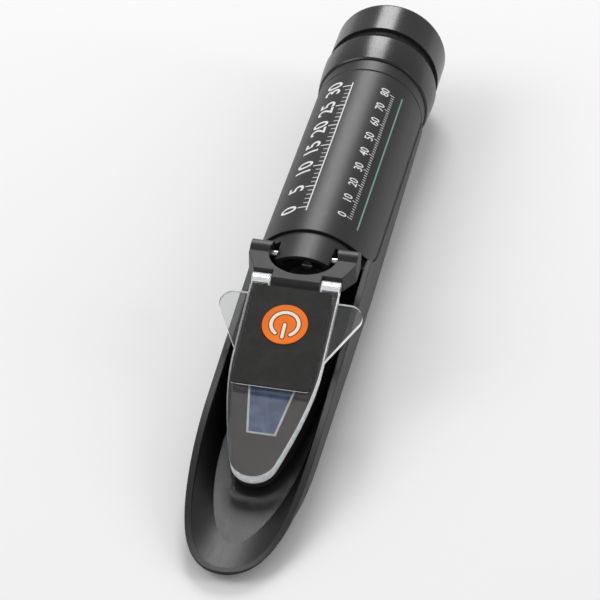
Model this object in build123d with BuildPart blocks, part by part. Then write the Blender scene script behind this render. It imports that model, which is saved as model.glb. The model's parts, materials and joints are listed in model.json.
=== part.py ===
from build123d import *
import math
import os

# Handheld refractometer with a hinged, lit daylight plate. Millimetres, +Z up, +Y towards the eye.
# The origin lies on the flat underside, below the front edge of the top cover.

# Tube and its two shells
TUBE_R = 14.0
TUBE_LEN = 71.3
SHELL_WALL = 1.6
PART_GAP = 0.2
CORNER_R = TUBE_R
COLLAR_LEN = 4.9
COLLAR_CHAMFER = 0.4
COLLAR_SPIGOT = 5.0

# Focus ring and eyecup, which follow the rear end of the tube
RING_GAP = 0.3
RING_RIDGE_RUN = 9.9
RING_LEN = 14.4
RING_CHAMFER = 0.4
FOCUS_R = TUBE_R + 1.1
FOCUS_EDGE_R = TUBE_R + 0.5
WAIST_R = TUBE_R - 0.1
WAIST_RUN = 2.2
CUP_LEN = 12.6
CUP_R = TUBE_R + 0.7
CUP_WALL = 2.1
CUP_LIP = 3.2
CUP_ROUND = 1.4
CUP_LAP = 0.1
collar_rear = TUBE_LEN + COLLAR_LEN
ring_start = collar_rear + RING_GAP
ridge_y = ring_start + RING_RIDGE_RUN
cup_start_y = ring_start + RING_LEN
cup_end_y = cup_start_y + CUP_LEN

# Flange inside the focus ring, which holds the ocular against the eyecup
FLANGE_INSET = 3.3
FLANGE_T = 1.8
FLANGE_FIT = 0.15
OCULAR_FLANGE_T = 1.9
OCULAR_FLANGE_STEP = 0.4
RETAINER_T = 1.0
RETAINER_PLAY = 0.1
CUP_FLOOR_GAP = 0.2
flange_y = cup_start_y + FLANGE_INSET
ring_tail = flange_y + FLANGE_T
shoulder = flange_y - RETAINER_PLAY
cup_base = ring_tail + RETAINER_T + CUP_FLOOR_GAP

# The underside lies level with the lowest line of the focus ring
AXIS_H = FOCUS_R

# Lower case and its scoop
CASE_HALF = TUBE_R + 0.3
CASE_WALL = 1.5
BILGE_R = 8.0
BILGE_REAR_R = CASE_HALF - 0.8
BILGE_TURN_Y = 5.0
FLOOR_T = 2.3
FLOOR_Z = FLOOR_T - AXIS_H
NOSE_Y = -95.5
FLOOR_NOSE_Y = -84.5
FLOOR_HALF = 10.2
BELLY_NOSE_Y = -88.5
SHOULDER_Y = -46.0
RIM_CORNER_Z = 4.6
RIM_BEND = (-50.0, -2.3)
RIM_TIP = (-96.0, -11.7)
RIM_PULLS = ((-68.0, -4.6), (-80.0, -11.3))
RIM_PLANE_Y = -94.0
RIM_PLANE_Z = -12.2
RIM_PLANE_TILT = 8.6

# Hinge block, which closes the front of the tube and carries the yoke
BLOCK_FIT = 0.1
BLOCK_WALL = 1.3
BLOCK_R = TUBE_R - SHELL_WALL - BLOCK_FIT
BLOCK_FACE_Y = -3.0
BLOCK_TAIL_Y = 6.0
HOOD_R = TUBE_R - 0.6
HOOD_HALF = 6.5
HOOD_LIP_Y = -10.4
HOOD_ROOF = 0.9
HOOD_CHEEK = 1.6
HOOD_FLOOR_Z = 6.6
HOOD_BACK_Y = -4.2

# Optical barrel, optics and their running clearances
BARREL_WALL = 1.2
BARREL_R = BLOCK_R - BLOCK_WALL
BARREL_BORE_R = BARREL_R - BARREL_WALL
BARREL_START_Y = 1.6
BARREL_REAR_GAP = 1.2
barrel_end_y = shoulder - OCULAR_FLANGE_T - BARREL_REAR_GAP
SLIDE_FIT = 0.06
SEAT_FIT = 0.05
LIGHT_BORE_R = 4.4
OCULAR_WALL = 1.6
LENS_R = BARREL_BORE_R - OCULAR_WALL
LENS_LAND = 1.1
SEAL_INSET = 2.8
SEAL_GROOVE_W = 1.2
SEAL_DEPTH = 0.7
SEAL_PLAY = 0.1
seal_y = ring_start + SEAL_INSET

# Hinge of the yoke and hinge of the plate
YOKE_PIN_Y = -6.8
YOKE_PIN_Z = HOOD_R - 3.0
YOKE_PIN_R = 0.9
PLATE_PIN_Y = -16.8
PLATE_PIN_Z = YOKE_PIN_Z - 0.5
PLATE_PIN_R = 0.8
PIN_FIT = 0.05
EAR_R = 3.1
EAR_INNER = 7.9
EAR_OUTER = CASE_HALF - 1.3
KNUCKLE_R = 1.7
KNUCKLE_INNER = 6.2
KNUCKLE_OUTER = 10.5
KNUCKLE_GAP = 0.3
SCALLOP_Y = -8.7
SCALLOP_HALF = 8.2
SCALLOP_DEPTH = 6.6

# Daylight plate, measured along its own slope from the point above its hinge pin
PLATE_PITCH = 20.0
PLATE_TOP_Z = PLATE_PIN_Z + 1.4
PLATE_T = 3.2
PLATE_HALF = 10.6
PLATE_START = 2.6
PLATE_BEND = 22.0
PLATE_TIP = 54.0
TIP_R = 5.6
WING_HALF = 19.4
WING_START = 4.0
WING_END = 21.0
WING_TOP = 1.7
WING_T = 1.2
WING_ROUND = 3.4
SEAT_GAP = 0.3

# Light module in the plate
POCKET_HALF = 8.8
POCKET_START = 3.4
POCKET_END = 29.5
POCKET_DEPTH = 2.4
PAD_HALF = 9.4
PAD_START = 2.8
PAD_END = 30.2
PAD_PROUD = 0.4
PAD_PLUG = 0.15
BOARD_T = 0.5
KEY_R = 5.4
KEY_AT = 13.0
KEY_PROUD = 0.15
KEY_TRAVEL = 0.3
CELL_R = 5.0
CELL_T = 1.6
CELL_AT = 24.4

# Prism and the stage that holds it
STAGE_HALF = 9.7
STAGE_TIP = 53.2
STAGE_REAR_Y = -18.6
NECK_R = 5.4
PRISM_FRONT = 41.0
PRISM_REAR = 12.0
PRISM_FRONT_HALF = 3.0
PRISM_REAR_HALF = 8.0
PRISM_BOTTOM_Z = -5.4
PRISM_TOE = 1.6
GASKET_W = 0.45
GASKET_DEPTH = 1.2

# Calibration screw and the objective carriage that it moves
SCREW_Z = BARREL_BORE_R - 2.8
SCREW_R = 0.9
SCREW_HEAD_R = 1.25
SCREW_HEAD_T = 0.9
CARRIAGE_Y = 8.5
CARRIAGE_LEN = 7.5
CARRIAGE_TRAVEL = 0.5
OBJECTIVE_R = SCREW_Z - 1.9
OBJECTIVE_T = 2.4
OBJECTIVE_BULGE = 0.8
OBJECTIVE_SEAT = 2.0
OBJECTIVE_LEDGE = 0.7
OBJECTIVE_DEPTH = 4.5

# Bimetal strip behind the carriage, and the baffle behind the strip
STRIP_GAP = 0.3
STRIP_LEN = 20.0
STRIP_FOOT = 5.0
STRIP_HALF = 2.0
STRIP_T = 0.5
STRIP_INSET = 0.3
BAFFLE_GAP = 3.2
BAFFLE_LEN = 3.0
BAFFLE_LIP = 1.0
BAFFLE_WALL = 0.8
BAFFLE_R = 6.5

# Reticle, its holder and the lenses of the ocular behind it
RETICLE_Y = 57.0
RETICLE_T = 1.5
RETICLE_R = BARREL_BORE_R - 0.9
RETICLE_LEDGE = 0.7
HOLDER_FRONT = 3.0
HOLDER_REAR = 4.0
RETICLE_RETAINER_T = 1.3
OCULAR_GAP = 11.0
OCULAR_STOP_T = 2.0
OCULAR_STOP = 1.0
FIELD_LENS_T = 2.4
FIELD_BULGE_FRONT = 0.3
FIELD_BULGE_REAR = 1.3
EYE_LENS_T = 4.4
EYE_BULGE = 1.3
EYE_LENS_INSET = 1.6
SPACER_WALL = 0.9
RETAINER_WALL = 0.8
RETAINER_RIM = 0.7
ocular_start = RETICLE_Y + OCULAR_GAP
field_seat = ocular_start + OCULAR_STOP_T
eye_seat = ring_tail - EYE_LENS_INSET

TUBE_AXIS = Axis((0, 0, AXIS_H), (0, 1, 0))
pitch = math.radians(PLATE_PITCH)


def side(x=0.0):
    """Plane across X: its own x runs along the tube and its y runs up from the tube's axis."""
    return Plane(origin=(x, 0, AXIS_H), x_dir=(0, 1, 0), z_dir=(1, 0, 0))


def across(y):
    """Plane across the tube, facing the eyepiece, centred on the tube's axis."""
    return Plane(origin=(0, y, AXIS_H), x_dir=(-1, 0, 0), z_dir=(0, 1, 0))


def plan(z):
    """Level plane at a height above the tube's axis."""
    return Plane.XY.offset(AXIS_H + z)


def on_plate(depth=0.0):
    """Plane parallel to the plate's top face, at a depth below it; its y runs back to the hinge."""
    origin = (0, PLATE_PIN_Y + depth * math.sin(pitch), AXIS_H + PLATE_TOP_Z - depth * math.cos(pitch))
    return Plane(origin=origin, x_dir=(1, 0, 0), z_dir=(0, -math.sin(pitch), math.cos(pitch)))


def slope_point(along, depth=0.0):
    """Side-view point (y, z from the axis) at a distance down the plate's slope and below its top."""
    y = PLATE_PIN_Y - along * math.cos(pitch) + depth * math.sin(pitch)
    z = PLATE_TOP_Z - along * math.sin(pitch) - depth * math.cos(pitch)
    return (y, z)


def rim_plane():
    """Sloping plane that runs just under the scoop's rim."""
    tilt = math.radians(RIM_PLANE_TILT)
    return Plane(
        origin=(0, RIM_PLANE_Y, AXIS_H + RIM_PLANE_Z),
        x_dir=(1, 0, 0),
        z_dir=(0, -math.sin(tilt), math.cos(tilt)),
    )


def ring(y0, y1, r_in, r_out):
    """Section of a plain ring about the tube's axis."""
    with BuildSketch(side()) as section:
        with Locations(((y0 + y1) / 2, (r_in + r_out) / 2)):
            Rectangle(y1 - y0, r_out - r_in)
    return section.sketch


def turned(*points):
    """Section bounded by straight lines, for a revolve about the tube's axis."""
    with BuildSketch(side()) as section:
        with BuildLine():
            Polyline(*points, close=True)
        make_face()
    return section.sketch


def lens_section(y0, y1, radius, front_bulge, rear_bulge):
    """Half section of a lens: a flat land round each face, with a bulge inside it."""
    crown = radius - LENS_LAND
    with BuildSketch(side()) as section:
        with BuildLine():
            Line((y0 - front_bulge, 0), (y1 + rear_bulge, 0))
            RadiusArc((y1 + rear_bulge, 0), (y1, crown), -cap_radius(crown, rear_bulge))
            Polyline((y1, crown), (y1, radius), (y0, radius), (y0, crown))
            RadiusArc((y0, crown), (y0 - front_bulge, 0), -cap_radius(crown, front_bulge))
        make_face()
    return section.sketch


def cap_radius(radius, bulge):
    """Radius of the sphere that rises by a bulge over a disc of a given radius."""
    return (radius * radius + bulge * bulge) / (2 * bulge)


def spoon_outline(plane, half, rear_y, shoulder_y, nose_y, fullness):
    """Plan outline of the scoop: straight sides that close in one smooth nose."""
    reach = shoulder_y - nose_y
    with BuildSketch(plane) as outline:
        with BuildLine():
            Line((half, rear_y), (-half, rear_y))
            Line((-half, rear_y), (-half, shoulder_y))
            Bezier(
                (-half, shoulder_y),
                (-half, shoulder_y - 0.55 * reach),
                (-half * fullness, nose_y),
                (0, nose_y),
            )
            Bezier(
                (0, nose_y),
                (half * fullness, nose_y),
                (half, shoulder_y - 0.55 * reach),
                (half, shoulder_y),
            )
            Line((half, shoulder_y), (half, rear_y))
        make_face()
    return outline.sketch


def plate_outline(plane, half, start, tip, tip_r):
    """Outline of the daylight plate: straight sides, curved in to a round tip."""
    lean = math.radians(17.0)
    side_end = (tip_r * math.cos(lean), -(tip - tip_r) - tip_r * math.sin(lean))
    with BuildSketch(plane) as outline:
        with BuildLine():
            Line((0, -start), (half, -start))
            Line((half, -start), (half, -PLATE_BEND))
            Bezier(
                (half, -PLATE_BEND),
                (half, -PLATE_BEND - 10.0),
                (side_end[0] + 7.5 * math.tan(lean), side_end[1] + 7.5),
                side_end,
            )
            RadiusArc(side_end, (0, -tip), tip_r)
            mirror(about=Plane.YZ)
        make_face()
    return outline.sketch


def boat(lower, upper, height):
    """Solid with straight flanks from a lower outline to an upper one, carried on straight up."""
    with BuildPart() as hull:
        loft(sections=[lower.faces()[0], upper.faces()[0]], ruled=True)
        extrude(upper.faces()[0], amount=height, dir=(0, 0, 1))
    return hull.part


def prism_body(grow, depth):
    """Prism under the plate's slope, grown by a clearance on its flanks and cut off at a depth."""
    top = PLATE_T + SEAT_GAP
    front = slope_point(PRISM_FRONT + grow, top)
    rear = slope_point(PRISM_REAR - grow, top)
    with BuildPart() as body:
        with BuildSketch(side()):
            with BuildLine():
                Polyline(
                    front,
                    rear,
                    (rear[0], PRISM_BOTTOM_Z - grow),
                    (front[0] + PRISM_TOE, front[1] - PRISM_TOE - grow),
                    (front[0], front[1] - PRISM_TOE / 2),
                    close=True,
                )
            make_face()
        extrude(amount=PRISM_REAR_HALF + grow, both=True)
        with BuildSketch(on_plate(top)):
            with BuildLine():
                Polyline(
                    (PRISM_REAR_HALF + grow, -PRISM_REAR + 5),
                    (PRISM_REAR_HALF + grow, -PRISM_REAR),
                    (PRISM_FRONT_HALF + grow, -PRISM_FRONT - grow),
                    (-PRISM_FRONT_HALF - grow, -PRISM_FRONT - grow),
                    (-PRISM_REAR_HALF - grow, -PRISM_REAR),
                    (-PRISM_REAR_HALF - grow, -PRISM_REAR + 5),
                    close=True,
                )
            make_face()
        extrude(amount=-depth, mode=Mode.INTERSECT)
    return body.part


# Lower case: half tube with a flat belly, drawn out into a long scoop

def case_section(y, bilge_r):
    """Cross-section of the lower case's outside: upright flanks, round bilges and a flat belly."""
    with BuildSketch(across(y)) as section:
        with BuildLine():
            Polyline(
                (-CASE_HALF, TUBE_R),
                (-CASE_HALF, -AXIS_H),
                (CASE_HALF, -AXIS_H),
                (CASE_HALF, TUBE_R),
                close=True,
            )
        make_face()
        fillet(section.vertices().group_by(Axis.Y)[0], bilge_r)
    return section.sketch


outer_rim = spoon_outline(rim_plane(), CASE_HALF, TUBE_LEN - RIM_PLANE_Y + 8, SHOULDER_Y - RIM_PLANE_Y,
                          NOSE_Y - RIM_PLANE_Y, 0.84)
inner_rim = spoon_outline(rim_plane(), CASE_HALF - CASE_WALL, 1 - RIM_PLANE_Y, SHOULDER_Y - RIM_PLANE_Y,
                          NOSE_Y + CASE_WALL - RIM_PLANE_Y, 0.84)
belly_edge = spoon_outline(plan(-AXIS_H), CASE_HALF, TUBE_LEN + 8, SHOULDER_Y, BELLY_NOSE_Y, 0.45)
floor_edge = spoon_outline(plan(FLOOR_Z), FLOOR_HALF, 1, SHOULDER_Y, FLOOR_NOSE_Y, 0.45)

with BuildPart() as lower_case:
    extrude(case_section(NOSE_Y, BILGE_R), amount=BILGE_TURN_Y - NOSE_Y)
    loft(sections=[case_section(BILGE_TURN_Y, BILGE_R).faces()[0],
                   case_section(TUBE_LEN, BILGE_REAR_R).faces()[0]], ruled=True)
    add(boat(belly_edge, outer_rim, 40), mode=Mode.INTERSECT)
    add(boat(floor_edge, inner_rim, 40), mode=Mode.SUBTRACT)
    with BuildSketch(across(BLOCK_FACE_Y - 2)):
        Circle(BLOCK_R + SEAT_FIT)
    extrude(amount=TUBE_LEN + 20, mode=Mode.SUBTRACT)
    with BuildSketch(side()):
        corner_y = CORNER_R - math.sqrt((CORNER_R + PART_GAP) ** 2 - (CORNER_R - RIM_CORNER_Z) ** 2)
        with BuildLine():
            Line((TUBE_LEN + 1, -PART_GAP), (CORNER_R, -PART_GAP))
            RadiusArc((CORNER_R, -PART_GAP), (corner_y, RIM_CORNER_Z), CORNER_R + PART_GAP)
            Line((corner_y, RIM_CORNER_Z), RIM_BEND)
            Bezier(RIM_BEND, *RIM_PULLS, RIM_TIP)
            Polyline(RIM_TIP, (RIM_TIP[0], 30), (TUBE_LEN + 1, 30), (TUBE_LEN + 1, -PART_GAP))
        make_face()
    extrude(amount=CASE_HALF + 5, both=True, mode=Mode.SUBTRACT)
lower_case.part.label = "lower_case"

# Top cover: half-round shell whose front lower corners sweep back to the parting line

with BuildPart() as top_cover:
    with BuildSketch(across(0)):
        Circle(TUBE_R)
        Circle(TUBE_R - SHELL_WALL, mode=Mode.SUBTRACT)
    extrude(amount=TUBE_LEN)
    with BuildSketch(side()):
        with BuildLine():
            RadiusArc((CORNER_R, 0), (0, CORNER_R), CORNER_R)
            Polyline((0, CORNER_R), (0, 20), (TUBE_LEN, 20), (TUBE_LEN, 0), (CORNER_R, 0))
        make_face()
    extrude(amount=TUBE_R + 1, both=True, mode=Mode.INTERSECT)
top_cover.part.label = "top_cover"

# Hinge block: bulkhead with a hooded nose that carries the yoke's pins

with BuildPart() as hinge_block:
    revolve(ring(BLOCK_FACE_Y, BLOCK_TAIL_Y, 0, BLOCK_R), axis=TUBE_AXIS)
    with BuildSketch(across(BLOCK_FACE_Y)):
        Circle(HOOD_R)
        with Locations((0, -HOOD_R + RIM_CORNER_Z + 0.4)):
            Rectangle(3 * HOOD_R, 2 * HOOD_R, mode=Mode.SUBTRACT)
    extrude(amount=-BLOCK_FACE_Y - PART_GAP)
    with BuildSketch(across(HOOD_LIP_Y)):
        Circle(HOOD_R)
        with Locations((0, HOOD_FLOOR_Z + HOOD_R)):
            Rectangle(2 * HOOD_HALF, 2 * HOOD_R, mode=Mode.INTERSECT)
    extrude(amount=BLOCK_FACE_Y - HOOD_LIP_Y)
    with BuildSketch(across(HOOD_LIP_Y)):
        Circle(HOOD_R - HOOD_ROOF)
        with Locations((0, HOOD_FLOOR_Z + HOOD_R - 1)):
            Rectangle(2 * (HOOD_HALF - HOOD_CHEEK), 2 * HOOD_R, mode=Mode.INTERSECT)
    extrude(amount=HOOD_BACK_Y - HOOD_LIP_Y, mode=Mode.SUBTRACT)
    with BuildSketch(side()):
        with Locations((YOKE_PIN_Y, YOKE_PIN_Z)):
            Circle(YOKE_PIN_R + PIN_FIT)
    extrude(amount=HOOD_HALF + 1, both=True, mode=Mode.SUBTRACT)
    revolve(ring(BARREL_START_Y, BLOCK_TAIL_Y + 1, 0, BARREL_R + SEAT_FIT), axis=TUBE_AXIS,
            mode=Mode.SUBTRACT)
    revolve(ring(BLOCK_FACE_Y - 1, BARREL_START_Y + 1, 0, LIGHT_BORE_R), axis=TUBE_AXIS, mode=Mode.SUBTRACT)
    with BuildSketch(across(HOOD_BACK_Y - 1)):
        with Locations((0, SCREW_Z)):
            Circle(SCREW_R + PIN_FIT)
    extrude(amount=BLOCK_TAIL_Y - HOOD_BACK_Y, mode=Mode.SUBTRACT)
hinge_block.part.label = "hinge_block"

# Yoke: two ears on the hood's pins, joined by a scalloped web and the bar that the plate hangs on

with BuildPart() as hinge_yoke:
    with BuildSketch(side()):
        with Locations((YOKE_PIN_Y, YOKE_PIN_Z)):
            Circle(EAR_R)
        with Locations((PLATE_PIN_Y, PLATE_PIN_Z)):
            Circle(KNUCKLE_R)
        with BuildLine():
            Polyline(
                (YOKE_PIN_Y, YOKE_PIN_Z + EAR_R - 0.6),
                (PLATE_PIN_Y, PLATE_PIN_Z + KNUCKLE_R),
                (PLATE_PIN_Y, PLATE_PIN_Z - KNUCKLE_R),
                (YOKE_PIN_Y, YOKE_PIN_Z - EAR_R),
                close=True,
            )
        make_face()
    extrude(amount=EAR_OUTER, both=True)
    with BuildSketch(plan(0)):
        bar_rear = PLATE_PIN_Y + KNUCKLE_R + KNUCKLE_GAP
        bar_front = PLATE_PIN_Y - KNUCKLE_R - 1
        ear_rear = YOKE_PIN_Y + EAR_R + 1
        with BuildLine():
            Polyline(
                (0, bar_front),
                (KNUCKLE_INNER - KNUCKLE_GAP, bar_front),
                (KNUCKLE_INNER - KNUCKLE_GAP, bar_rear),
                (KNUCKLE_OUTER + 0.2, bar_rear),
                (EAR_OUTER, YOKE_PIN_Y - EAR_R),
                (EAR_OUTER, ear_rear),
                (0, ear_rear),
            )
            mirror(about=Plane.YZ)
        make_face()
        with Locations((0, SCALLOP_Y)):
            Ellipse(SCALLOP_HALF, SCALLOP_DEPTH, mode=Mode.SUBTRACT)
        with Locations((0, SCALLOP_Y + 10)):
            Rectangle(2 * EAR_INNER, 20, mode=Mode.SUBTRACT)
    extrude(amount=30, mode=Mode.INTERSECT)
    with BuildSketch(side(-KNUCKLE_OUTER)):
        with Locations((PLATE_PIN_Y, PLATE_PIN_Z)):
            Circle(PLATE_PIN_R + 0.02)
    extrude(amount=2 * KNUCKLE_OUTER, mode=Mode.SUBTRACT)
    with BuildSketch(side(-EAR_OUTER + 0.8)):
        with Locations((YOKE_PIN_Y, YOKE_PIN_Z)):
            Circle(YOKE_PIN_R + 0.02)
    extrude(amount=2 * (EAR_OUTER - 0.8), mode=Mode.SUBTRACT)
hinge_yoke.part.label = "hinge_yoke"

with BuildPart() as yoke_pins:
    with BuildSketch(side(HOOD_HALF - HOOD_CHEEK + 0.1)):
        with Locations((YOKE_PIN_Y, YOKE_PIN_Z)):
            Circle(YOKE_PIN_R)
    extrude(amount=EAR_OUTER - 0.9 - (HOOD_HALF - HOOD_CHEEK + 0.1))
    mirror(about=Plane.YZ)
yoke_pins.part.label = "yoke_pins"

with BuildPart() as plate_pin:
    with BuildSketch(side(-KNUCKLE_OUTER - 0.1)):
        with Locations((PLATE_PIN_Y, PLATE_PIN_Z)):
            Circle(PLATE_PIN_R)
    extrude(amount=2 * KNUCKLE_OUTER + 0.2)
plate_pin.part.label = "plate_pin"

# Daylight plate: thick clear plate with two lifting wings and a pocket for the light module

with BuildPart() as daylight_plate:
    extrude(plate_outline(on_plate(PLATE_T), PLATE_HALF, PLATE_START, PLATE_TIP, TIP_R), amount=PLATE_T)
    with BuildSketch(on_plate(WING_TOP + WING_T)) as wings:
        with BuildLine():
            Polyline(
                (0, -WING_START),
                (WING_HALF, -WING_START),
                (PLATE_HALF - 2, -WING_END - 3),
                (0, -WING_END - 3),
                close=True,
            )
        make_face()
        fillet(wings.vertices().sort_by(Axis.X)[-1], WING_ROUND)
        mirror(about=Plane.YZ)
    extrude(amount=WING_T)
    with BuildSketch(side(KNUCKLE_INNER)):
        with Locations((PLATE_PIN_Y, PLATE_PIN_Z)):
            Circle(KNUCKLE_R)
        with BuildLine():
            Polyline(
                (PLATE_PIN_Y + 0.3, PLATE_PIN_Z + KNUCKLE_R - 0.1),
                slope_point(PLATE_START + 0.5, 0),
                slope_point(PLATE_START + 0.5, PLATE_T),
                (PLATE_PIN_Y, PLATE_PIN_Z - KNUCKLE_R + 0.1),
                close=True,
            )
        make_face()
    extrude(amount=KNUCKLE_OUTER - KNUCKLE_INNER)
    mirror(about=Plane.YZ)
    with BuildSketch(side(-KNUCKLE_OUTER - 1)):
        with Locations((PLATE_PIN_Y, PLATE_PIN_Z)):
            Circle(PLATE_PIN_R + PIN_FIT)
    extrude(amount=2 * KNUCKLE_OUTER + 2, mode=Mode.SUBTRACT)
    with BuildSketch(on_plate(POCKET_DEPTH)):
        with Locations((0, -(POCKET_START + POCKET_END) / 2)):
            RectangleRounded(2 * POCKET_HALF, POCKET_END - POCKET_START, 0.8)
    extrude(amount=POCKET_DEPTH + 5, mode=Mode.SUBTRACT)
daylight_plate.part.label = "daylight_plate"

with BuildPart() as light_pad:
    with BuildSketch(on_plate()):
        with Locations((0, -(PAD_START + PAD_END) / 2)):
            RectangleRounded(2 * PAD_HALF, PAD_END - PAD_START, 1.2)
    extrude(amount=PAD_PROUD)
    with BuildSketch(on_plate(PAD_PLUG)):
        with Locations((0, -(POCKET_START + POCKET_END) / 2)):
            RectangleRounded(2 * (POCKET_HALF - SEAT_FIT), POCKET_END - POCKET_START - 2 * SEAT_FIT, 0.8)
    extrude(amount=PAD_PLUG)
    with BuildSketch(on_plate(PAD_PLUG)):
        with Locations((0, -KEY_AT)):
            Circle(KEY_R + PIN_FIT)
    extrude(amount=PAD_PLUG + PAD_PROUD, mode=Mode.SUBTRACT)
light_pad.part.label = "light_pad"

key_bottom = PAD_PLUG + SEAT_FIT
with BuildPart() as power_key:
    with BuildSketch(on_plate(key_bottom)):
        with Locations((0, -KEY_AT)):
            Circle(KEY_R)
    extrude(amount=key_bottom + PAD_PROUD + KEY_PROUD)
    with BuildSketch(on_plate(key_bottom)):
        with Locations((0, -KEY_AT)):
            Circle(KEY_R + 0.7)
    extrude(amount=-0.3)
    with BuildSketch(on_plate(key_bottom + 0.3)):
        with Locations((0, -KEY_AT)):
            Circle(1.6)
    extrude(amount=-0.3)
power_key.part.label = "power_key"

board_top = POCKET_DEPTH - BOARD_T
with BuildPart() as circuit_board:
    with BuildSketch(on_plate(POCKET_DEPTH)):
        with Locations((0, -(POCKET_START + POCKET_END) / 2)):
            RectangleRounded(2 * (POCKET_HALF - 0.2), POCKET_END - POCKET_START - 0.4, 0.7)
    extrude(amount=BOARD_T)
circuit_board.part.label = "circuit_board"

with BuildPart() as dome_switch:
    with BuildSketch(on_plate(board_top)):
        with Locations((0, -KEY_AT)):
            Circle(2.5)
    dome_height = board_top - (key_bottom + 0.6 + KEY_TRAVEL + 0.05)
    extrude(amount=dome_height, taper=20)
dome_switch.part.label = "dome_switch"

with BuildPart() as coin_cell:
    with BuildSketch(on_plate(board_top)):
        with Locations((0, -CELL_AT)):
            Circle(CELL_R)
    extrude(amount=CELL_T)
coin_cell.part.label = "coin_cell"

with BuildPart() as light_emitters:
    with BuildSketch(on_plate(board_top)):
        with Locations((6.9, -CELL_AT - 2.6), (-6.9, -CELL_AT - 2.6)):
            Rectangle(2.4, 1.6)
    extrude(amount=0.9)
light_emitters.part.label = "light_emitters"

# Prism stage, prism and its gasket

stage_depth = PLATE_T + SEAT_GAP
with BuildPart() as prism_stage:
    with BuildSketch(side()):
        with BuildLine():
            Polyline(
                slope_point(STAGE_TIP + 5, stage_depth),
                slope_point((PLATE_PIN_Y - STAGE_REAR_Y) / math.cos(pitch), stage_depth),
                (STAGE_REAR_Y, FLOOR_Z),
                (slope_point(STAGE_TIP + 5)[0], FLOOR_Z),
                close=True,
            )
        make_face()
    extrude(amount=STAGE_HALF + 2, both=True)
    extrude(plate_outline(on_plate(stage_depth), STAGE_HALF, -10, STAGE_TIP, TIP_R - 0.7),
            amount=-30, mode=Mode.INTERSECT)
    revolve(ring(STAGE_REAR_Y - 1, BLOCK_FACE_Y, 0, NECK_R), axis=TUBE_AXIS)
    revolve(ring(slope_point(PRISM_REAR)[0] - 2, BLOCK_FACE_Y + 1, 0, LIGHT_BORE_R), axis=TUBE_AXIS,
            mode=Mode.SUBTRACT)
    add(prism_body(GASKET_W + SEAT_FIT, 30), mode=Mode.SUBTRACT)
prism_stage.part.label = "prism_stage"

with BuildPart() as prism:
    add(prism_body(0, 30))
prism.part.label = "prism"

with BuildPart() as prism_gasket:
    add(prism_body(GASKET_W, GASKET_DEPTH))
    add(prism_body(0, 30), mode=Mode.SUBTRACT)
prism_gasket.part.label = "prism_gasket"

# Optical barrel with its front optics

with BuildPart() as optical_barrel:
    revolve(ring(BARREL_START_Y, barrel_end_y, BARREL_BORE_R, BARREL_R), axis=TUBE_AXIS)
    revolve(ring(seal_y, seal_y + SEAL_GROOVE_W, BARREL_R - SEAL_DEPTH, BARREL_R + 1), axis=TUBE_AXIS,
            mode=Mode.SUBTRACT)
optical_barrel.part.label = "optical_barrel"

with BuildPart() as focus_seal:
    revolve(ring(seal_y + SEAL_PLAY, seal_y + SEAL_GROOVE_W - SEAL_PLAY, BARREL_R - SEAL_DEPTH, BARREL_R),
            axis=TUBE_AXIS)
focus_seal.part.label = "focus_seal"

with BuildPart() as calibration_screw:
    with BuildSketch(across(HOOD_BACK_Y)):
        with Locations((0, SCREW_Z)):
            Circle(SCREW_HEAD_R)
    extrude(amount=-SCREW_HEAD_T)
    with BuildSketch(across(HOOD_BACK_Y - SCREW_HEAD_T)):
        with Locations((0, SCREW_Z)):
            Rectangle(2 * SCREW_HEAD_R, 0.4)
    extrude(amount=0.4, mode=Mode.SUBTRACT)
    with BuildSketch(across(HOOD_BACK_Y)):
        with Locations((0, SCREW_Z)):
            Circle(SCREW_R)
    extrude(amount=CARRIAGE_Y + CARRIAGE_LEN - 1 - HOOD_BACK_Y)
calibration_screw.part.label = "calibration_screw"

with BuildPart() as objective_cell:
    revolve(ring(CARRIAGE_Y, CARRIAGE_Y + CARRIAGE_LEN, OBJECTIVE_R - OBJECTIVE_LEDGE,
                 BARREL_BORE_R - SLIDE_FIT), axis=TUBE_AXIS)
    revolve(ring(CARRIAGE_Y - 1, CARRIAGE_Y + OBJECTIVE_DEPTH, 0, OBJECTIVE_R + SEAT_FIT), axis=TUBE_AXIS,
            mode=Mode.SUBTRACT)
    with BuildSketch(across(CARRIAGE_Y - 1)):
        with Locations((0, SCREW_Z)):
            Circle(SCREW_R + SLIDE_FIT)
    extrude(amount=CARRIAGE_LEN + 2, mode=Mode.SUBTRACT)
objective_cell.part.label = "objective_cell"

objective_y = CARRIAGE_Y + OBJECTIVE_SEAT
with BuildPart() as objective_lens:
    revolve(lens_section(objective_y, objective_y + OBJECTIVE_T, OBJECTIVE_R, OBJECTIVE_BULGE,
                         OBJECTIVE_BULGE), axis=TUBE_AXIS)
objective_lens.part.label = "objective_lens"

strip_start = CARRIAGE_Y + CARRIAGE_LEN + CARRIAGE_TRAVEL + STRIP_GAP
strip_end = strip_start + STRIP_LEN
strip_foot_z = STRIP_INSET - BARREL_BORE_R
strip_top_z = -BARREL_BORE_R + 1.5
with BuildPart() as bimetal_strip:
    with BuildSketch(side()):
        with BuildLine():
            Polyline(
                (strip_start, strip_top_z),
                (strip_end, strip_top_z),
                (strip_end, strip_foot_z),
                (strip_end - STRIP_FOOT, strip_foot_z),
                (strip_end - STRIP_FOOT, strip_top_z - STRIP_T),
                (strip_start, strip_top_z - STRIP_T),
                close=True,
            )
        make_face()
    extrude(amount=STRIP_HALF, both=True)
bimetal_strip.part.label = "bimetal_strip"

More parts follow.
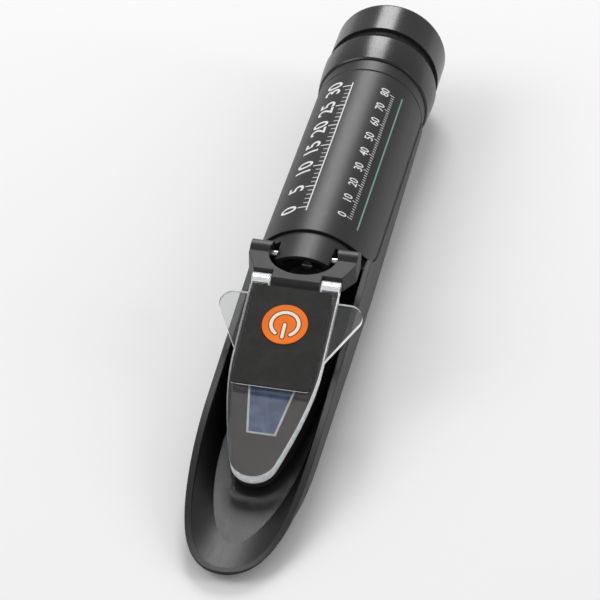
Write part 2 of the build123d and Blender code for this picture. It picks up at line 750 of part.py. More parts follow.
baffle_y = strip_end + BAFFLE_GAP
with BuildPart() as light_baffle:
    revolve(
        turned(
            (baffle_y, BAFFLE_R),
            (baffle_y, BARREL_BORE_R - SEAT_FIT),
            (baffle_y + BAFFLE_LEN, BARREL_BORE_R - SEAT_FIT),
            (baffle_y + BAFFLE_LEN, BARREL_BORE_R - BAFFLE_WALL),
            (baffle_y + BAFFLE_LIP, BAFFLE_R),
        ),
        axis=TUBE_AXIS,
    )
light_baffle.part.label = "light_baffle"

with BuildPart() as reticle_holder:
    revolve(
        turned(
            (RETICLE_Y - HOLDER_FRONT, RETICLE_R - RETICLE_LEDGE),
            (RETICLE_Y - HOLDER_FRONT, BARREL_BORE_R - SEAT_FIT),
            (RETICLE_Y + HOLDER_REAR, BARREL_BORE_R - SEAT_FIT),
            (RETICLE_Y + HOLDER_REAR, RETICLE_R + SEAT_FIT),
            (RETICLE_Y, RETICLE_R + SEAT_FIT),
            (RETICLE_Y, RETICLE_R - RETICLE_LEDGE),
        ),
        axis=TUBE_AXIS,
    )
reticle_holder.part.label = "reticle_holder"

with BuildPart() as reticle:
    revolve(ring(RETICLE_Y, RETICLE_Y + RETICLE_T, 0, RETICLE_R), axis=TUBE_AXIS)
reticle.part.label = "reticle"

with BuildPart() as reticle_retainer:
    retainer_y = RETICLE_Y + RETICLE_T
    revolve(ring(retainer_y, retainer_y + RETICLE_RETAINER_T, RETICLE_R - 1, RETICLE_R), axis=TUBE_AXIS)
reticle_retainer.part.label = "reticle_retainer"

# Collar that closes the shells at the rear

with BuildPart() as collar_ring:
    revolve(
        turned(
            (TUBE_LEN - COLLAR_SPIGOT, BARREL_R + SEAT_FIT),
            (TUBE_LEN - COLLAR_SPIGOT, BLOCK_R),
            (TUBE_LEN + PART_GAP, BLOCK_R),
            (TUBE_LEN + PART_GAP, TUBE_R - COLLAR_CHAMFER),
            (TUBE_LEN + PART_GAP + COLLAR_CHAMFER, TUBE_R),
            (collar_rear, TUBE_R),
            (collar_rear, BARREL_R + SEAT_FIT),
        ),
        axis=TUBE_AXIS,
    )
collar_ring.part.label = "collar_ring"

# Focus ring, eyecup and the ocular that they carry

ring_lap_y = cup_start_y - CUP_LAP
cup_seat_r = CUP_R - CUP_WALL - SEAT_FIT
flange_bore_r = BARREL_BORE_R + FLANGE_FIT
with BuildPart() as focus_ring:
    with BuildSketch(side()):
        with BuildLine():
            Polyline(
                (ring_lap_y, WAIST_R),
                (ring_lap_y, cup_seat_r),
                (ring_tail, cup_seat_r),
                (ring_tail, flange_bore_r),
                (flange_y, flange_bore_r),
                (flange_y, BARREL_R + SLIDE_FIT),
                (ring_start, BARREL_R + SLIDE_FIT),
                (ring_start, FOCUS_EDGE_R - RING_CHAMFER),
                (ring_start + RING_CHAMFER, FOCUS_EDGE_R),
            )
            Bezier((ring_start + RING_CHAMFER, FOCUS_EDGE_R), (ridge_y - 5, FOCUS_R), (ridge_y, FOCUS_R))
            Bezier((ridge_y, FOCUS_R), (ridge_y + WAIST_RUN, WAIST_R), (ring_lap_y, WAIST_R))
        make_face()
    revolve(axis=TUBE_AXIS)
focus_ring.part.label = "focus_ring"

cup_hole_r = BARREL_BORE_R - 0.6
cup_step_r = BARREL_BORE_R + 1.0
with BuildPart() as eyecup:
    with BuildSketch(side()) as cup:
        with BuildLine():
            Polyline(
                (cup_start_y, CUP_R - CUP_WALL),
                (cup_start_y, CUP_R),
                (cup_end_y, CUP_R),
                (cup_end_y, CUP_R - CUP_LIP),
                (cup_base, cup_hole_r),
                (cup_base, cup_step_r),
                (ring_tail, cup_step_r),
                (ring_tail, CUP_R - CUP_WALL),
                close=True,
            )
        make_face()
        fillet(cup.vertices().group_by(Axis.X)[-1], CUP_ROUND)
    revolve(axis=TUBE_AXIS)
eyecup.part.label = "eyecup"

ocular_flange_r = BARREL_R - OCULAR_FLANGE_STEP
with BuildPart() as ocular_tube:
    revolve(
        turned(
            (ocular_start, LENS_R + SEAT_FIT - OCULAR_STOP),
            (ocular_start, BARREL_BORE_R - SLIDE_FIT),
            (shoulder - OCULAR_FLANGE_T, BARREL_BORE_R - SLIDE_FIT),
            (shoulder - OCULAR_FLANGE_T, ocular_flange_r),
            (shoulder, ocular_flange_r),
            (shoulder, BARREL_BORE_R),
            (ring_tail, BARREL_BORE_R),
            (ring_tail, LENS_R + SEAT_FIT),
            (field_seat, LENS_R + SEAT_FIT),
            (field_seat, LENS_R + SEAT_FIT - OCULAR_STOP),
        ),
        axis=TUBE_AXIS,
    )
ocular_tube.part.label = "ocular_tube"

with BuildPart() as field_lens:
    revolve(lens_section(field_seat, field_seat + FIELD_LENS_T, LENS_R, FIELD_BULGE_FRONT, FIELD_BULGE_REAR),
            axis=TUBE_AXIS)
field_lens.part.label = "field_lens"

with BuildPart() as lens_spacer:
    revolve(ring(field_seat + FIELD_LENS_T, eye_seat - EYE_LENS_T, LENS_R - SPACER_WALL, LENS_R),
            axis=TUBE_AXIS)
lens_spacer.part.label = "lens_spacer"

with BuildPart() as eye_lens:
    revolve(lens_section(eye_seat - EYE_LENS_T, eye_seat, LENS_R, EYE_BULGE, EYE_BULGE), axis=TUBE_AXIS)
eye_lens.part.label = "eye_lens"

retainer_r = BARREL_BORE_R + RETAINER_RIM
with BuildPart() as ocular_retainer:
    revolve(
        turned(
            (eye_seat, LENS_R - RETAINER_WALL),
            (eye_seat, LENS_R),
            (ring_tail + RETAINER_PLAY, LENS_R),
            (ring_tail + RETAINER_PLAY, retainer_r),
            (ring_tail + RETAINER_T, retainer_r),
            (ring_tail + RETAINER_T, LENS_R - RETAINER_WALL),
        ),
        axis=TUBE_AXIS,
    )
ocular_retainer.part.label = "ocular_retainer"

os.makedirs("parts", exist_ok=True)
for piece in (
    lower_case, top_cover, hinge_block, hinge_yoke, yoke_pins, plate_pin, daylight_plate, light_pad,
    power_key, circuit_board, dome_switch, coin_cell, light_emitters, prism_stage, prism, prism_gasket,
    optical_barrel, focus_seal, calibration_screw, objective_cell, objective_lens, bimetal_strip,
    light_baffle, reticle_holder, reticle, reticle_retainer, collar_ring, focus_ring, eyecup,
    ocular_tube, field_lens, lens_spacer, eye_lens, ocular_retainer,
):
    export_step(piece.part, f"parts/{piece.part.label}.step")
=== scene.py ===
import json
import math
import random

import bmesh
import bpy
from mathutils import Matrix, Vector


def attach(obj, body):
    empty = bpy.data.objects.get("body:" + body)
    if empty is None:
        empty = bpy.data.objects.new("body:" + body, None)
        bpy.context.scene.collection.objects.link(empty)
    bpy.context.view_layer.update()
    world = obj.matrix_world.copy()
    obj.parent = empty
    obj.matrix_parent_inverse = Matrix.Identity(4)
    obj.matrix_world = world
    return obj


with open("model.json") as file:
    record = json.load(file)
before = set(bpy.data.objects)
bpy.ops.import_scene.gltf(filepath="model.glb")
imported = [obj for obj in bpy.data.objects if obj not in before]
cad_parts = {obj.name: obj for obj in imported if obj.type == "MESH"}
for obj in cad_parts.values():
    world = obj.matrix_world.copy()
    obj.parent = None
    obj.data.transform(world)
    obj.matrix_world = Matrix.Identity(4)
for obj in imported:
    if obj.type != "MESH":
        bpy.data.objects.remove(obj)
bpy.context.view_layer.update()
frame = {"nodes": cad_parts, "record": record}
scene = bpy.context.scene
scene.view_settings.view_transform = "Standard"

# Units, plain colours and the seed of the random draws
MM = 0.001
BLACK = (0.0, 0.0, 0.0, 1.0)
WHITE = (1.0, 1.0, 1.0, 1.0)
SEED = 7

# Sizes shared with the part, in millimetres
AXIS_H = 15.1
TUBE_R = 14.0
PITCH = math.radians(20.0)
PIN_Y = -16.8
PLATE_TOP_Z = 11.3
PAD_END = 30.2
PAD_PROUD = 0.4
KEY_PROUD = 0.15
KEY_AT = 13.0

# The photograph's camera: its place in millimetres, its turns and its lens
CAM_AT = (126.56, -603.18, 473.22)
CAM_AZIMUTH = math.radians(-12.093)
CAM_DIP = math.radians(37.046)
CAM_ROLL = math.radians(0.132)
CAM_LENS = 190.918
CAM_SENSOR = 36.0
CAM_NEAR = 0.05
CAM_FAR = 20.0

# Prints on the tube: places along it in millimetres, turns from its top in degrees
PRINT_START = 8.0
PRINT_END = 65.5
PRINT_MARGIN = 1.5
LINE_START = 7.4
LINE_END = 65.9
LINE_HALF = 0.2
INK_LOW = -0.03
INK_HIGH = 0.025
MAIN_TURN = 13.0
FINE_TURN = -35.0
LINE_TURN = -44.3
WRAP_STEP = 0.45
WELD = 0.0005

# Standby sign on the key, in millimetres and degrees
SIGN_R = 3.25
SIGN_HALF = 0.42
SIGN_OPENING = 34.0
STEM_START = 0.1
STEM_END = 3.6
STEM_HALF = 0.4
SIGN_OUTLINE = 0.22
OUTLINE_HEIGHTS = (-0.05, 0.03)
SIGN_HEIGHTS = (-0.04, 0.06)

# Bits of glue along the pad's front edge, in millimetres
GLUE_REACH = 9.0
GLUE_SIZES = (0.1, 0.28)
GLUE_DRIFT = (-0.02, 0.12)
GLUE_STRETCH = (0.8, 2.4)
GLUE_SQUASH = 0.7
GLUE_RISE = 0.03
GLUE_HEIGHT = 0.09
GLUE_GAPS = (0.5, 0.9, 1.6, 2.4)
GLUE_GAP_SPREAD = (0.7, 1.2)

# Where the painted shade in the scoop is full and where it ends, in millimetres along the tube
SCOOP_SHADE_FULL_Y = -30.0
SCOOP_SHADE_END_Y = 2.0

# Studio, in metres
FLOOR_HALF = 6.0
FLOOR_DROP = 0.00005
WORLD_AS_LIGHT = 0.46
WORLD_AS_SEEN = 1.0
LAMP_TARGET = (0.0, 0.0, 0.012)

# The plate's own directions, down to its tip and up out of its face
TIPWARD = Vector((0.0, -math.cos(PITCH), -math.sin(PITCH)))
OUTWARD = Vector((0.0, -math.sin(PITCH), math.cos(PITCH)))


class Tree:
    """A cleared node tree and short ways to add and join its nodes."""

    def __init__(self, tree):
        self.tree = tree
        self.tree.nodes.clear()

    def add(self, kind, **settings):
        node = self.tree.nodes.new(kind)
        for key, value in settings.items():
            setattr(node, key, value)
        return node

    def join(self, source, target):
        self.tree.links.new(source, target)

    def put(self, socket, value):
        """Gives a socket a value, or joins it to another socket."""
        if isinstance(value, bpy.types.NodeSocket):
            self.join(value, socket)
        else:
            socket.default_value = value

    def span(self, value, low, high, to_low, to_high):
        """Maps a value from one range to another and stops it at the ends."""
        node = self.add("ShaderNodeMapRange")
        self.put(node.inputs["Value"], value)
        limits = {"From Min": low, "From Max": high, "To Min": to_low, "To Max": to_high}
        for key, number in limits.items():
            node.inputs[key].default_value = number
        return node.outputs["Result"]

    def math(self, how, a, b=0.0, clamp=False):
        node = self.add("ShaderNodeMath", operation=how, use_clamp=clamp)
        self.put(node.inputs[0], a)
        self.put(node.inputs[1], b)
        return node.outputs[0]

    def mix(self, share, a, b):
        """Mixes two colours: none of the second at share 0, all of it at 1."""
        node = self.add("ShaderNodeMix", data_type="RGBA")
        self.put(node.inputs[0], share)
        self.put(node.inputs[6], a)
        self.put(node.inputs[7], b)
        return node.outputs[2]


class Surface(Tree):
    """A material with one shader, whose patterns keep to the object when it moves."""

    def __init__(self, name):
        self.material = bpy.data.materials.new(name)
        self.material.use_nodes = True
        super().__init__(self.material.node_tree)
        self.shader = self.add("ShaderNodeBsdfPrincipled")
        out = self.add("ShaderNodeOutputMaterial")
        self.join(self.shader.outputs[0], out.inputs["Surface"])
        places = self.add("ShaderNodeTexCoord")
        self.coords = places.outputs["Object"]
        self.own_normal = places.outputs["Normal"]

    def shade(self, sockets):
        """Sets the shader's sockets by name and returns the material."""
        for name, value in sockets.items():
            self.put(self.shader.inputs[name], value)
        return self.material

    def noise(self, scale, detail=3.0, rough=0.55, coords=None):
        node = self.add("ShaderNodeTexNoise")
        self.join(coords or self.coords, node.inputs["Vector"])
        node.inputs["Scale"].default_value = scale
        node.inputs["Detail"].default_value = detail
        node.inputs["Roughness"].default_value = rough
        return node.outputs["Fac"]

    def stretched(self, scales):
        """The object's coordinates with a scale of their own along each axis."""
        node = self.add("ShaderNodeMapping")
        self.join(self.coords, node.inputs["Vector"])
        node.inputs["Scale"].default_value = scales
        return node.outputs["Vector"]

    def facing(self, direction):
        """How far the surface faces a direction, as the object lies at rest, 0 to 1 either way."""
        node = self.add("ShaderNodeVectorMath", operation="DOT_PRODUCT")
        self.join(self.own_normal, node.inputs[0])
        node.inputs[1].default_value = direction
        return self.math("ABSOLUTE", node.outputs["Value"])

    def along(self, start, end, low, high):
        """A value that runs from low to high between two places along the tube, in millimetres."""
        node = self.add("ShaderNodeSeparateXYZ")
        self.join(self.coords, node.inputs[0])
        return self.span(node.outputs["Y"], start * MM, end * MM, low, high)

    def rounded(self, radius):
        """The normal with edges rounded by a radius in millimetres."""
        bevel = self.add("ShaderNodeBevel", samples=6)
        bevel.inputs["Radius"].default_value = radius * MM
        return bevel.outputs["Normal"]

    def near_edge(self, round_normal):
        """How near an edge is, 0 to 1, told by how far its rounded normal leans."""
        node = self.add("ShaderNodeVectorMath", operation="DOT_PRODUCT")
        self.join(round_normal, node.inputs[0])
        self.join(self.add("ShaderNodeNewGeometry").outputs["Normal"], node.inputs[1])
        return self.span(node.outputs["Value"], 0.995, 0.86, 0.0, 1.0)

    def bumped(self, height, depth, normal=None):
        """The normal with a relief of a depth in millimetres."""
        node = self.add("ShaderNodeBump")
        node.inputs["Strength"].default_value = 1.0
        node.inputs["Distance"].default_value = depth * MM
        self.join(height, node.inputs["Height"])
        if normal is not None:
            self.join(normal, node.inputs["Normal"])
        return node.outputs["Normal"]


def rgb(r, g, b):
    """A colour given as the picture's 0 to 255 values."""
    def linear(v):
        v = v / 255
        return v / 12.92 if v <= 0.04045 else ((v + 0.055) / 1.055) ** 2.4
    return (linear(r), linear(g), linear(b), 1.0)


def times(colour, factor):
    """The same colour, lighter or darker by a factor."""
    return tuple(c * factor for c in colour[:3]) + (1.0,)


def moulded(name, colour, worn, rough, grain, depth, edge, sheen=0.5, rub=0.5, metal=0.0, scoop=1.0):
    """Moulded or machined surface: fine grain, cloudy colour, rubbed edges and faint scuffs.

    The size and depth of the grain and the radius of the edges are in millimetres. rub is how much of
    the worn colour the edges take, and scoop how much brightness the plastic keeps under the scoop's
    painted shade.
    """
    n = Surface(name)
    normal = n.rounded(edge)
    fine = n.noise(1 / (grain * MM), 2.0, 0.6)
    cloud = n.noise(95.0, 4.0, 0.6)
    scuff = n.noise(1.0, 5.0, 0.7, n.stretched((2600.0, 210.0, 900.0)))
    patches = n.span(n.noise(700.0, 4.0, 0.7), 0.42, 0.7, 0.15, 1.0)
    wear = n.math("MULTIPLY", n.near_edge(normal), patches, True)
    cloudy = n.mix(n.span(cloud, 0.35, 0.7, 0.0, 1.0), colour, times(colour, 1.28))
    # Painted shade: the plastic is darkened towards black along the tube into the scoop.
    shaded = n.mix(n.along(SCOOP_SHADE_FULL_Y, SCOOP_SHADE_END_Y, 1.0 - scoop, 0.0), cloudy, BLACK)
    streaks = n.math("ADD", fine, n.math("MULTIPLY", scuff, 0.6))
    dull = n.span(streaks, 0.55, 1.05, rough - 0.06, rough + 0.08)
    relief = n.math("ADD", fine, n.math("MULTIPLY", cloud, 0.8))
    return n.shade({
        "Base Color": n.mix(n.math("MULTIPLY", wear, rub), shaded, worn),
        "Roughness": n.math("SUBTRACT", dull, n.math("MULTIPLY", wear, 0.08)),
        "Metallic": metal,
        "Specular IOR Level": sheen,
        "Normal": n.bumped(relief, depth, normal),
    })


def bright_metal(name, colour, rough, marks_along):
    """Bright metal with fine marks of its turning or rolling, which are stretched along one axis."""
    n = Surface(name)
    marks = n.noise(1.0, 3.0, 0.6, n.stretched(marks_along))
    stain = n.noise(420.0, 4.0, 0.6)
    return n.shade({
        "Base Color": n.mix(n.span(stain, 0.4, 0.75, 0.0, 0.35), colour, times(colour, 0.7)),
        "Metallic": 1.0,
        "Roughness": n.span(n.math("ADD", marks, stain), 0.7, 1.3, rough - 0.07, rough + 0.1),
        "Normal": n.bumped(marks, 0.004, n.rounded(0.1)),
    })


def clear_plate():
    """Clear plastic with polished faces and pale, frosted cut edges, which glow faintly with painted
    light.
    """
    n = Surface("clear_plastic")
    edge = n.span(n.facing(OUTWARD), 0.93, 0.55, 0.0, 1.0)
    haze_and_glow = n.noise(900.0, 4.0, 0.6)
    frost = n.math("MULTIPLY", edge, 0.28)
    return n.shade({
        "Base Color": n.mix(edge, (0.97, 0.98, 0.985, 1.0), (0.97, 0.98, 0.98, 1.0)),
        "Transmission Weight": n.span(edge, 0.0, 1.0, 1.0, 0.12),
        "Roughness": n.math("ADD", n.span(haze_and_glow, 0.3, 0.7, 0.015, 0.06), frost),
        "IOR": 1.49,
        # Painted light: the cut edges glow faintly in a pale blue-white, stronger in patches.
        "Emission Color": (0.95, 0.98, 1.0, 1.0),
        "Emission Strength": n.math("MULTIPLY", edge, n.span(haze_and_glow, 0.35, 0.65, 0.12, 0.34)),
        "Normal": n.bumped(n.noise(260.0, 3.0, 0.5), 0.01, n.rounded(0.3)),
    })


def prism_block():
    """Deep blue prism with cloudy, lighter patches under its polish."""
    n = Surface("prism_glass")
    cloud = n.noise(300.0, 5.0, 0.62)
    return n.shade({
        "Base Color": n.mix(n.span(cloud, 0.38, 0.66, 0.0, 1.0), rgb(44, 72, 118), rgb(84, 114, 162)),
        "Roughness": n.span(n.noise(1500.0, 3.0, 0.6), 0.3, 0.7, 0.1, 0.26),
        "Coat Weight": 0.6,
        "Coat Roughness": 0.04,
        "Normal": n.bumped(cloud, 0.01, n.rounded(0.12)),
    })


def lens():
    """Polished lens glass with a faint coating tint and a little dust."""
    n = Surface("lens_glass")
    tint = n.span(n.noise(160.0), 0.4, 0.6, 0.0, 1.0)
    dust = n.noise(2600.0, 3.0, 0.7)
    return n.shade({
        "Base Color": n.mix(tint, (0.9, 0.94, 0.97, 1.0), (0.94, 0.92, 0.98, 1.0)),
        "Transmission Weight": 1.0,
        "IOR": 1.52,
        "Roughness": n.span(dust, 0.62, 0.8, 0.01, 0.16),
    })


def textured_rubber(name, colour, light, grain, depth):
    """Matt rubber film with a pebbled relief and dusty, lighter grains."""
    n = Surface(name)
    cells = n.add("ShaderNodeTexVoronoi")
    n.join(n.coords, cells.inputs["Vector"])
    cells.inputs["Scale"].default_value = 1 / (grain * MM)
    pebble = n.span(cells.outputs["Distance"], 0.0, 0.75, 1.0, 0.0)
    speck = n.noise(1 / (0.8 * grain * MM), 2.0, 0.7)
    broad = n.span(n.noise(260.0, 3.0, 0.6), 0.45, 0.75, 0.0, 0.35)
    dusty = n.math("ADD", n.span(speck, 0.52, 0.8, 0.0, 0.8), broad, True)
    relief = n.math("ADD", pebble, n.math("MULTIPLY", speck, 0.7))
    return n.shade({
        "Base Color": n.mix(dusty, colour, light),
        "Roughness": n.span(pebble, 0.0, 1.0, 0.82, 0.62),
        "Specular IOR Level": 0.35,
        "Normal": n.bumped(relief, depth, n.rounded(0.2)),
    })


def printed(name, colour, rough=0.45):
    """Screen-printed ink, slightly uneven in cover and gloss."""
    n = Surface(name)
    ink = n.noise(3800.0, 3.0, 0.65)
    return n.shade({
        "Base Color": n.mix(n.span(ink, 0.55, 0.78, 0.0, 1.0), colour, times(colour, 0.78)),
        "Roughness": n.span(ink, 0.3, 0.7, rough - 0.08, rough + 0.08),
        "Normal": n.bumped(ink, 0.004),
    })


def lamp_resin():
    """Milky cast resin of the light emitters."""
    n = Surface("emitter")
    cloud = n.noise(1400.0, 3.0, 0.6)
    return n.shade({
        "Base Color": n.mix(cloud, rgb(244, 236, 196), rgb(224, 206, 140)),
        "Roughness": n.span(cloud, 0.3, 0.7, 0.12, 0.3),
        "Subsurface Weight": 0.3,
        "Subsurface Scale": 0.0005,
    })


MATERIALS = {
    # The case's plastic keeps 0.45 of its brightness where the painted shade in the scoop is full.
    "black_plastic": moulded("black_plastic", rgb(32, 32, 33), worn=rgb(78, 78, 80), rough=0.4, grain=0.2,
                             depth=0.014, edge=0.3, sheen=0.42, rub=0.35, scoop=0.45),
    "black_gloss": moulded("black_gloss", rgb(30, 30, 32), worn=rgb(80, 80, 83), rough=0.24, grain=0.3,
                           depth=0.005, edge=0.3),
    "eyecup_rubber": moulded("eyecup_rubber", rgb(30, 30, 31), worn=rgb(62, 62, 64), rough=0.22,
                             grain=0.26, depth=0.005, edge=0.4, rub=0.25),
    "black_rubber": textured_rubber("black_rubber", rgb(38, 38, 37), light=rgb(62, 62, 61), grain=0.15,
                                    depth=0.022),
    "clear_plastic": clear_plate(),
    "orange_plastic": moulded("orange_plastic", rgb(252, 122, 26), worn=rgb(255, 160, 70), rough=0.42,
                              grain=0.3, depth=0.006, edge=0.12, sheen=0.3, rub=0.4),
    "circuit_board": moulded("circuit_board", rgb(28, 92, 48), worn=rgb(90, 140, 96), rough=0.4,
                             grain=0.4, depth=0.01, edge=0.08),
    "emitter": lamp_resin(),
    "stage_metal": moulded("stage_metal", rgb(70, 65, 61), worn=rgb(112, 107, 102), rough=0.5,
                           grain=0.18, depth=0.012, edge=0.2, sheen=0.3),
    "prism_glass": prism_block(),
    "lens_glass": lens(),
    "pale_cement": moulded("pale_cement", rgb(228, 230, 228), worn=rgb(245, 245, 242), rough=0.5,
                           grain=0.15, depth=0.02, edge=0.05),
    "barrel_metal": moulded("barrel_metal", rgb(46, 46, 47), worn=rgb(150, 150, 152), rough=0.34,
                            grain=0.12, depth=0.004, edge=0.1, rub=0.8, metal=0.6),
    "bimetal": bright_metal("bimetal", rgb(206, 172, 112), 0.3, (200.0, 3000.0, 3000.0)),
    "steel": bright_metal("steel", rgb(214, 214, 216), 0.2, (3000.0, 3000.0, 140.0)),
}
PRINT_WHITE = printed("print_white", rgb(240, 240, 238))
PRINT_TEAL = printed("print_teal", rgb(126, 168, 162))
PRINT_CREAM = printed("print_cream", rgb(255, 246, 226))
PRINT_BROWN = printed("print_brown", rgb(84, 40, 22))
GLUE = printed("glue", rgb(226, 228, 228), rough=0.3)


def dress_nodes():
    """Gives each node of the part the material of its slot."""
    slot_of = {s["node"]: s["material_slot"] for s in frame["record"]["subparts"]}
    for name, node in frame["nodes"].items():
        node.data.materials.clear()
        node.data.materials.append(MATERIALS[slot_of[name]])


def add_piece(name, work, material, body):
    """Makes a finished mesh a named piece that rides on a body."""
    bmesh.ops.recalc_face_normals(work, faces=work.faces)
    mesh = bpy.data.meshes.new(name)
    work.to_mesh(mesh)
    work.free()
    mesh.materials.append(material)
    piece = bpy.data.objects.new(name, mesh)
    scene.collection.objects.link(piece)
    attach(piece, body)


def ink_height(share):
    """Height of a point of the ink over the tube, from its underside at 0 to its top at 1."""
    return INK_LOW + share * (INK_HIGH - INK_LOW)


def bar(work, low, high):
    """Adds a flat printed bar between two corners (x, y), in millimetres."""
    made = bmesh.ops.create_cube(work, size=1.0)
    for v in made["verts"]:
        v.co = Vector((
            low[0] + (v.co.x + 0.5) * (high[0] - low[0]),
            low[1] + (v.co.y + 0.5) * (high[1] - low[1]),
            ink_height(v.co.z + 0.5),
        ))


def figures(work, text, size, at, weight):
    """Adds printed figures of a given size, read along x and centred on a point of their base line."""
    curve = bpy.data.curves.new("figures", "FONT")
    curve.body = text
    curve.size = size
    curve.align_x = "CENTER"
    curve.offset = weight
    curve.extrude = 0.5
    holder = bpy.data.objects.new("figures", curve)
    mesh = bpy.data.meshes.new_from_object(holder)
    part = bmesh.new()
    part.from_mesh(mesh)
    bmesh.ops.remove_doubles(part, verts=part.verts, dist=WELD)
    for v in part.verts:
        v.co = Vector((v.co.x + at[0], v.co.y + at[1], ink_height(v.co.z + 0.5)))
    part.to_mesh(mesh)
    part.free()
    work.from_mesh(mesh)
    bpy.data.objects.remove(holder)
    bpy.data.curves.remove(curve)
    bpy.data.meshes.remove(mesh)


def wrap_on_tube(work, turn):
    """Cuts a flat print in strips and lays it, x along the tube and y round it, on the tube."""
    high = max(v.co.y for v in work.verts)
    cut = min(v.co.y for v in work.verts)
    while cut < high:
        geometry = work.verts[:] + work.edges[:] + work.faces[:]
        bmesh.ops.bisect_plane(work, geom=geometry, plane_co=(0, cut, 0), plane_no=(0, 1, 0))
        cut += WRAP_STEP
    for v in work.verts:
        along, across, out = v.co
        angle = math.radians(turn) + across / TUBE_R
        r = TUBE_R + out
        v.co = Vector((-r * math.sin(angle), along, AXIS_H + r * math.cos(angle))) * MM


def tube_scale(name, turn, steps, every, mark, long_mark, figure, count, base=None):
    """A printed scale along the tube, with a long mark and a figure at every few steps.

    The marks are (half width, length) and a figure is (size, height of its base line, weight). The
    figures grow by count from one to the next, and base is a line's (lower, upper) edge.
    """
    work = bmesh.new()
    pitch = (PRINT_END - PRINT_START - 2 * PRINT_MARGIN) / steps
    size, rise, weight = figure
    for step in range(steps + 1):
        x = PRINT_START + PRINT_MARGIN + step * pitch
        is_long = step % every == 0
        half, length = long_mark if is_long else mark
        bar(work, (x - half, 0.0), (x + half, length))
        if is_long:
            figures(work, str(step // every * count), size, (x, rise), weight)
    if base:
        bar(work, (PRINT_START, base[0]), (PRINT_END, base[1]))
    wrap_on_tube(work, turn)
    add_piece(name, work, PRINT_WHITE, "housing")


def tube_line():
    """The coloured line beside the thin scale."""
    work = bmesh.new()
    bar(work, (LINE_START, -LINE_HALF), (LINE_END, LINE_HALF))
    wrap_on_tube(work, LINE_TURN)
    add_piece("line_print", work, PRINT_TEAL, "housing")


def on_plate(x, d, n):
    """Point in metres at x across the plate, d down towards its tip and n out of its face."""
    start = Vector((x, PIN_Y, AXIS_H + PLATE_TOP_Z))
    return (start + TIPWARD * d + OUTWARD * n) * MM


def raised(name, outlines, low, high, material, body):
    """Closed prisms over flat outlines (x, d) on the plate, from a low to a high height."""
    work = bmesh.new()
    for outline in outlines:
        rings = [[work.verts.new(on_plate(x, d, n)) for x, d in outline] for n in (low, high)]
        for i in range(len(outline)):
            j = (i + 1) % len(outline)
            work.faces.new((rings[0][i], rings[0][j], rings[1][j], rings[1][i]))
        work.faces.new(rings[0][::-1])
        work.faces.new(rings[1])
    add_piece(name, work, material, body)


def round_end(hub, heading, half, parts=8):
    """Points round the end of a band, from the left of its heading to the right, corners left out."""
    left = Vector((-heading.y, heading.x))
    turns = [math.pi * k / parts for k in range(1, parts)]
    return [hub + half * (left * math.cos(t) + heading * math.sin(t)) for t in turns]


def straight_band(start, end, half):
    """Outline of a round-ended band between two points."""
    heading = (end - start).normalized()
    left = Vector((-heading.y, heading.x)) * half
    return [
        start + left,
        end + left,
        *round_end(end, heading, half),
        end - left,
        start - left,
        *round_end(start, -heading, half),
    ]


def arc_band(centre, radius, half, opening, parts=48):
    """Outline of a round-ended ring that is open towards the tip, by an angle to each side."""
    first = math.radians(opening)
    last = math.tau - first

    def at(r, angle):
        return centre + r * Vector((math.sin(angle), math.cos(angle)))

    def heading(angle):
        return Vector((math.cos(angle), -math.sin(angle)))

    angles = [first + (last - first) * i / parts for i in range(parts + 1)]
    return [
        *(at(radius + half, a) for a in angles),
        *round_end(at(radius, last), heading(last), half),
        *(at(radius - half, a) for a in reversed(angles)),
        *round_end(at(radius, first), -heading(first), half),
    ]


def key_sign():
    """The standby sign on the key: an open ring and a bar, each with a thin dark outline."""
    top = PAD_PROUD + KEY_PROUD
    centre = Vector((0.0, KEY_AT))
    stem = [centre + Vector((0.0, d)) for d in (STEM_START, STEM_END)]
    for name, grow, heights, material in (
        ("key_sign_outline", SIGN_OUTLINE, OUTLINE_HEIGHTS, PRINT_BROWN),
        ("key_sign", 0.0, SIGN_HEIGHTS, PRINT_CREAM),
    ):
        shapes = [
            arc_band(centre, SIGN_R, SIGN_HALF + grow, SIGN_OPENING),
            straight_band(*stem, STEM_HALF + grow),
        ]
        raised(name, shapes, top + heights[0], top + heights[1], material, "key")


def pad_edge():
    """Ragged bits of glue and film along the pad's front edge."""
    random.seed(SEED)
    work = bmesh.new()
    x = -GLUE_REACH
    while x < GLUE_REACH:
        size = random.uniform(*GLUE_SIZES)
        made = bmesh.ops.create_icosphere(work, subdivisions=1, radius=1.0)
        at = on_plate(x, PAD_END + random.uniform(*GLUE_DRIFT), GLUE_RISE)
        stretch = random.uniform(*GLUE_STRETCH)
        for v in made["verts"]:
            flat = Vector((v.co.x * size * stretch, 0, 0)) + TIPWARD * (v.co.y * size * GLUE_SQUASH)
            v.co = at + (flat + OUTWARD * (v.co.z * GLUE_HEIGHT)) * MM
        x += random.choice(GLUE_GAPS) * random.uniform(*GLUE_GAP_SPREAD)
    add_piece("pad_edge_glue", work, GLUE, "plate")


def make_camera():
    """The photograph's camera, from its place, compass turn, dip and roll."""
    flat = math.cos(CAM_DIP)
    look = Vector((math.sin(CAM_AZIMUTH) * flat, math.cos(CAM_AZIMUTH) * flat, -math.sin(CAM_DIP)))
    level = look.cross(Vector((0, 0, 1))).normalized()
    upright = level.cross(look)
    right = level * math.cos(CAM_ROLL) + upright * math.sin(CAM_ROLL)
    up = upright * math.cos(CAM_ROLL) - level * math.sin(CAM_ROLL)
    data = bpy.data.cameras.new("camera")
    data.sensor_width = CAM_SENSOR
    data.lens = CAM_LENS
    data.clip_start = CAM_NEAR
    data.clip_end = CAM_FAR
    camera = bpy.data.objects.new("camera", data)
    scene.collection.objects.link(camera)
    turn = Matrix((right, up, -look)).transposed().to_4x4()
    camera.matrix_world = Matrix.Translation(Vector(CAM_AT) * MM) @ turn
    scene.camera = camera


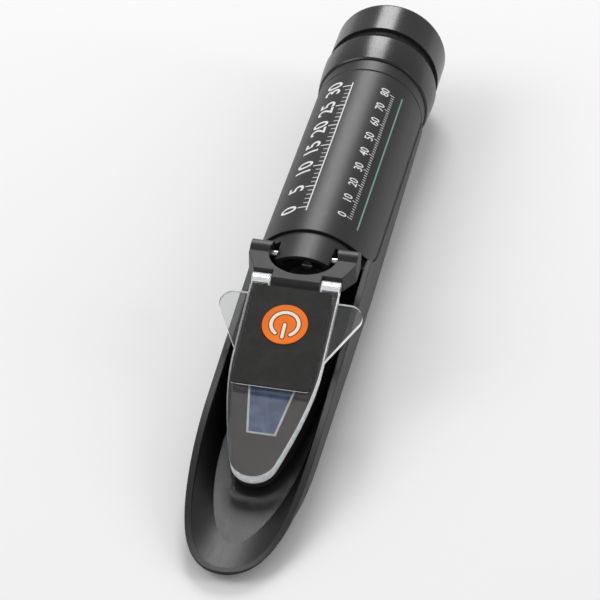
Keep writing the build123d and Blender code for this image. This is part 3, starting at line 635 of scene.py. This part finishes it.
def make_floor():
    """A plain pale floor just under the part, white to the camera."""
    work = bmesh.new()
    bmesh.ops.create_grid(work, x_segments=1, y_segments=1, size=FLOOR_HALF)
    mesh = bpy.data.meshes.new("floor")
    work.to_mesh(mesh)
    work.free()
    floor = bpy.data.objects.new("floor", mesh)
    floor.location = (0, 0, -FLOOR_DROP)
    scene.collection.objects.link(floor)
    n = Surface("floor")
    sight = n.add("ShaderNodeLightPath").outputs["Is Camera Ray"]
    paper = n.mix(n.noise(30.0), times(WHITE, 0.8), times(WHITE, 0.83))
    mesh.materials.append(n.shade({
        "Base Color": n.mix(sight, paper, times(WHITE, 0.98)),
        "Roughness": 0.75,
        "Specular IOR Level": 0.2,
    }))


def make_world():
    """White where the camera sees it, straight or through glass, and dimmer as a light."""
    world = bpy.data.worlds.new("studio")
    world.use_nodes = True
    scene.world = world
    t = Tree(world.node_tree)
    path = t.add("ShaderNodeLightPath").outputs
    unscattered = t.math("LESS_THAN", path["Diffuse Depth"], 0.5)
    through_glass = t.math("MULTIPLY", unscattered, path["Is Transmission Ray"])
    seen = t.math("MAXIMUM", path["Is Camera Ray"], through_glass)
    back = t.add("ShaderNodeBackground")
    back.inputs["Color"].default_value = WHITE
    t.join(t.span(seen, 0.0, 1.0, WORLD_AS_LIGHT, WORLD_AS_SEEN), back.inputs["Strength"])
    t.join(back.outputs[0], t.add("ShaderNodeOutputWorld").inputs["Surface"])


def softbox(name, direction, distance, size, power):
    """A soft lamp at a distance in metres and a direction from the part."""
    data = bpy.data.lights.new(name, "AREA")
    data.shape = "RECTANGLE"
    data.size, data.size_y = size
    data.energy = power
    lamp = bpy.data.objects.new(name, data)
    aim = Vector(direction).normalized()
    lamp.location = Vector(LAMP_TARGET) + aim * distance
    lamp.rotation_mode = "QUATERNION"
    lamp.rotation_quaternion = aim.to_track_quat("Z", "Y")
    scene.collection.objects.link(lamp)


dress_nodes()
tube_scale("scale_print", MAIN_TURN, steps=30, every=5, mark=(0.1, 1.25), long_mark=(0.17, 2.3),
           figure=(6.2, 2.8, 0.06), count=5, base=(-0.36, -0.06))
tube_scale("fine_scale_print", FINE_TURN, steps=56, every=7, mark=(0.1, 0.8), long_mark=(0.1, 1.4),
           figure=(3.2, 1.7, 0.02), count=10)
tube_line()
key_sign()
pad_edge()

make_camera()
make_floor()
make_world()
softbox("key", direction=(-0.12, 0.78, 0.62), distance=1.3, size=(0.42, 0.62), power=6.5)
softbox("left", direction=(-0.9, -0.35, 0.85), distance=1.5, size=(0.8, 0.8), power=6.0)
softbox("right", direction=(1.0, -0.1, 0.55), distance=1.4, size=(0.3, 0.9), power=3.0)
